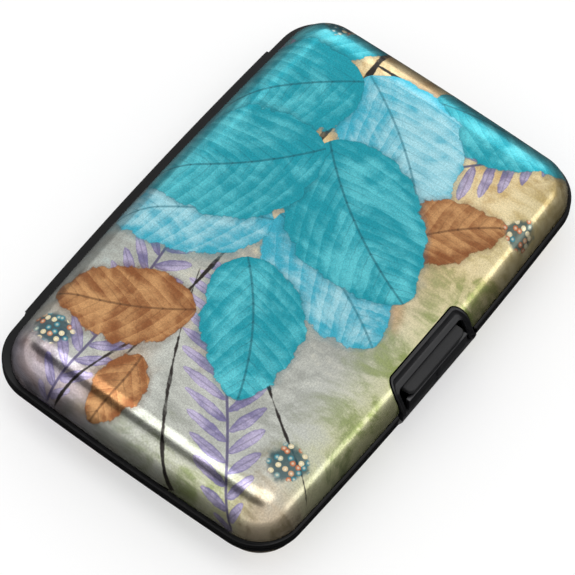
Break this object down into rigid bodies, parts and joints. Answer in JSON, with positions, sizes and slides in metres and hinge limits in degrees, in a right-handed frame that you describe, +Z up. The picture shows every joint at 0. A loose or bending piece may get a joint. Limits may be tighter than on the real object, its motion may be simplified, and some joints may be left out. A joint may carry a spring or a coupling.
{
  "type": "hinged card case",
  "caption": "Slim hinged aluminium card case with a push-button latch and fan-out card pockets joined by folded pleats.",
  "frame": {"origin": "centre of the bounding box's base, on the ground under the back shell", "axes": "+X along the case, +Y towards the hinge, +Z up through the lid; the latch faces -Y"},
  "size_m": [0.11, 0.0752, 0.0194],
  "materials": {
    "printed_aluminium": "satin, printed pattern over fine brushed grain",
    "black_plastic": "satin moulded",
    "button_plastic": "matte moulded",
    "steel": "bright",
    "pocket_film": "fine matte film"
  },
  "bodies": {
    "back": {"back_shell": "printed_aluminium", "back_tray": "black_plastic", "back_bezel": "black_plastic", "hinge_pin": "steel", "leaf_1": "pocket_film", "pleat_1": "pocket_film", "pleat_2": "pocket_film", "pleat_3": "pocket_film", "pleat_4": "pocket_film", "pleat_5": "pocket_film", "pleat_6": "pocket_film", "pleat_7": "pocket_film"},
    "lid": {"front_shell": "printed_aluminium", "front_tray": "black_plastic", "front_bezel": "black_plastic", "latch_spring": "steel", "leaf_8": "pocket_film"},
    "button": {"latch_button": "button_plastic"},
    "divider_2": {"leaf_2": "pocket_film"},
    "divider_3": {"leaf_3": "pocket_film"},
    "divider_4": {"leaf_4": "pocket_film"},
    "divider_5": {"leaf_5": "pocket_film"},
    "divider_6": {"leaf_6": "pocket_film"},
    "divider_7": {"leaf_7": "pocket_film"}
  },
  "joints": [
    {"name": "lid_hinge", "type": "hinge", "parent": "back", "child": "lid", "pos_m": [0, 0.03587, 0.0097], "axis": [-1, 0, 0], "range_deg": [0, 50], "deforming": ["pleat_1", "pleat_2", "pleat_3", "pleat_4", "pleat_5", "pleat_6", "pleat_7"]},
    {"name": "divider_2_hinge", "type": "hinge", "parent": "back", "child": "divider_2", "pos_m": [0, 0.03587, 0.0097], "axis": [-1, 0, 0], "range_deg": [0, 7.14]},
    {"name": "divider_3_hinge", "type": "hinge", "parent": "back", "child": "divider_3", "pos_m": [0, 0.03587, 0.0097], "axis": [-1, 0, 0], "range_deg": [0, 14.29]},
    {"name": "divider_4_hinge", "type": "hinge", "parent": "back", "child": "divider_4", "pos_m": [0, 0.03587, 0.0097], "axis": [-1, 0, 0], "range_deg": [0, 21.43]},
    {"name": "divider_5_hinge", "type": "hinge", "parent": "back", "child": "divider_5", "pos_m": [0, 0.03587, 0.0097], "axis": [-1, 0, 0], "range_deg": [0, 28.57]},
    {"name": "divider_6_hinge", "type": "hinge", "parent": "back", "child": "divider_6", "pos_m": [0, 0.03587, 0.0097], "axis": [-1, 0, 0], "range_deg": [0, 35.71]},
    {"name": "divider_7_hinge", "type": "hinge", "parent": "back", "child": "divider_7", "pos_m": [0, 0.03587, 0.0097], "axis": [-1, 0, 0], "range_deg": [0, 42.86]},
    {"name": "latch_press", "type": "slide", "parent": "lid", "child": "button", "axis": [0, 1, 0], "range_m": [0, 0.001], "stiffness_N_per_m": 400, "deforming": ["latch_spring"]}
  ],
  "couplings": [
    {"joint": "divider_2_hinge", "follows": "lid_hinge", "ratio": 0.14286},
    {"joint": "divider_3_hinge", "follows": "lid_hinge", "ratio": 0.28571},
    {"joint": "divider_4_hinge", "follows": "lid_hinge", "ratio": 0.42857},
    {"joint": "divider_5_hinge", "follows": "lid_hinge", "ratio": 0.57143},
    {"joint": "divider_6_hinge", "follows": "lid_hinge", "ratio": 0.71429},
    {"joint": "divider_7_hinge", "follows": "lid_hinge", "ratio": 0.85714}
  ]
}
